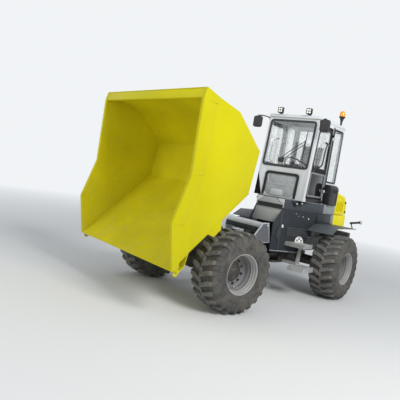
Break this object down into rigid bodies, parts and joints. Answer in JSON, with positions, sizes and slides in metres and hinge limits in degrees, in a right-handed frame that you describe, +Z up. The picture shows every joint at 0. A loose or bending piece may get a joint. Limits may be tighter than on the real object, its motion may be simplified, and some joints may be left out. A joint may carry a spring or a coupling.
{
  "type": "articulated site dumper with cab",
  "caption": "Articulated site dumper: cab and engine on the rear frame, steered front frame with a wide steel skip tipped forward by a cylinder, four lugged wheels.",
  "frame": {"origin": "on the ground, under the middle of the whole machine as it stands with its skip tipped and its front frame turned", "axes": "+X forward along the rear frame, +Y to the left, +Z up"},
  "size_m": [5.5268, 3.0087, 3.54],
  "materials": {
    "skip_yellow": "satin",
    "hood_yellow": "satin",
    "cab_grey": "satin",
    "slate": "satin",
    "mid_grey": "satin",
    "frame_dark": "matt",
    "axle_dark": "matt",
    "black_plastic": "matt",
    "door_black": "satin",
    "galvanised": "satin",
    "rod_chrome": "polished",
    "glass": "clear",
    "tyre_rubber": "dusty",
    "rim_silver": "satin",
    "seat_fabric": "woven",
    "beacon_amber": "clear amber over black",
    "engine_iron": "matt"
  },
  "bodies": {
    "rear": {"beacon": "beacon_amber", "body_band": "slate", "cab_frame": "cab_grey", "cab_roof": "cab_grey", "cowl_cap": "mid_grey", "cowl_panel": "mid_grey", "dashboard": "black_plastic", "engine_block": "engine_iron", "lower_window": "glass", "mirror_left": "black_plastic", "mirror_right": "black_plastic", "quarter_window_left": "glass", "quarter_window_right": "glass", "rear_axle": "axle_dark", "rear_frame": "frame_dark", "rear_guard": "frame_dark", "rear_panel": "hood_yellow", "rear_window": "glass", "seat": "seat_fabric", "side_panel_left": "slate", "side_panel_right": "slate", "steering_wheel": "black_plastic", "steps_left": "galvanised", "steps_right": "galvanised", "storage_box_left": "black_plastic", "storage_box_right": "black_plastic", "towing_jaw": "frame_dark", "windscreen": "glass", "wing_left": "slate", "wing_right": "slate", "work_lamp_left": "black_plastic", "work_lamp_right": "black_plastic"},
    "front": {"front_frame": "frame_dark", "front_axle": "axle_dark", "gantry": "mid_grey"},
    "skip": {"skip_hinge": "skip_yellow", "skip_rim_left": "skip_yellow", "skip_rim_rear": "skip_yellow", "skip_rim_right": "skip_yellow", "skip_tub": "skip_yellow"},
    "tip_barrel": {"tip_ram_barrel": "frame_dark"},
    "tip_rod": {"tip_ram_rod": "rod_chrome"},
    "steer_barrel": {"steer_ram_barrel": "frame_dark"},
    "steer_rod": {"steer_ram_rod": "rod_chrome"},
    "hood": {"engine_hood": "hood_yellow"},
    "door_left": {"door_left": "door_black", "door_window_left": "glass"},
    "wheel_front_left": {"tyre_front_left": "tyre_rubber", "rim_front_left": "rim_silver"},
    "wheel_rear_left": {"tyre_rear_left": "tyre_rubber", "rim_rear_left": "rim_silver"},
    "door_right": {"door_right": "door_black", "door_window_right": "glass"},
    "wheel_front_right": {"tyre_front_right": "tyre_rubber", "rim_front_right": "rim_silver"},
    "wheel_rear_right": {"tyre_rear_right": "tyre_rubber", "rim_rear_right": "rim_silver"}
  },
  "joints": [
    {"name": "steering", "type": "hinge", "parent": "rear", "child": "front", "pos_m": [-0.163, 0.269, 0.7], "axis": [0, 0, 1], "range_deg": [-25.4, 48.6]},
    {"name": "skip_tip", "type": "hinge", "parent": "front", "child": "skip", "pos_m": [1.40432, -0.05273, 1.12], "axis": [0.2011, 0.9796, 0], "range_deg": [-74, 0]},
    {"name": "tip_ram_swing", "type": "hinge", "parent": "front", "child": "tip_barrel", "pos_m": [0.32679, 0.16846, 0.8], "axis": [0.2011, 0.9796, 0], "range_deg": [-0.01, 7.51]},
    {"name": "tip_ram_stroke", "type": "slide", "parent": "tip_barrel", "child": "tip_rod", "axis": [0.7736, -0.1588, 0.6135], "range_m": [-0.503, 0.001]},
    {"name": "steer_ram_swing", "type": "hinge", "parent": "rear", "child": "steer_barrel", "pos_m": [-0.708, 0.489, 0.68], "axis": [0, 0, 1], "range_deg": [-9.7, 18.52]},
    {"name": "steer_ram_stroke", "type": "slide", "parent": "steer_barrel", "child": "steer_rod", "axis": [0.9999, 0.0151, 0], "range_m": [-0.2258, 0.1185]},
    {"name": "wheel_front_left_turn", "type": "hinge", "parent": "front", "child": "wheel_front_left", "pos_m": [1.35749, 0.96243, 0.585], "axis": [0.2011, 0.9796, 0], "continuous": true},
    {"name": "wheel_front_right_turn", "type": "hinge", "parent": "front", "child": "wheel_front_right", "pos_m": [0.96137, -0.96734, 0.585], "axis": [0.2011, 0.9796, 0], "continuous": true},
    {"name": "wheel_rear_left_turn", "type": "hinge", "parent": "rear", "child": "wheel_rear_left", "pos_m": [-1.563, 1.254, 0.585], "axis": [0, 1, 0], "continuous": true},
    {"name": "wheel_rear_right_turn", "type": "hinge", "parent": "rear", "child": "wheel_rear_right", "pos_m": [-1.563, -0.716, 0.585], "axis": [0, 1, 0], "continuous": true},
    {"name": "door_left_hinge", "type": "hinge", "parent": "rear", "child": "door_left", "pos_m": [-1.555, 0.805, 2.4], "axis": [0, 0, 1], "range_deg": [0, 90]},
    {"name": "door_right_hinge", "type": "hinge", "parent": "rear", "child": "door_right", "pos_m": [-1.555, -0.267, 2.4], "axis": [0, 0, 1], "range_deg": [-90, 0]},
    {"name": "hood_hinge", "type": "hinge", "parent": "rear", "child": "hood", "pos_m": [-2.699, 0.269, 1.505], "axis": [0, -1, 0], "range_deg": [0, 55]}
  ],
  "couplings": [
    {"joint": "tip_ram_swing", "follows": "skip_tip", "ratio": -0.10135},
    {"joint": "tip_ram_stroke", "follows": "skip_tip", "m_per_rad": 0.38868},
    {"joint": "steer_ram_swing", "follows": "steering", "ratio": 0.38},
    {"joint": "steer_ram_stroke", "follows": "steering", "m_per_rad": -0.265}
  ]
}
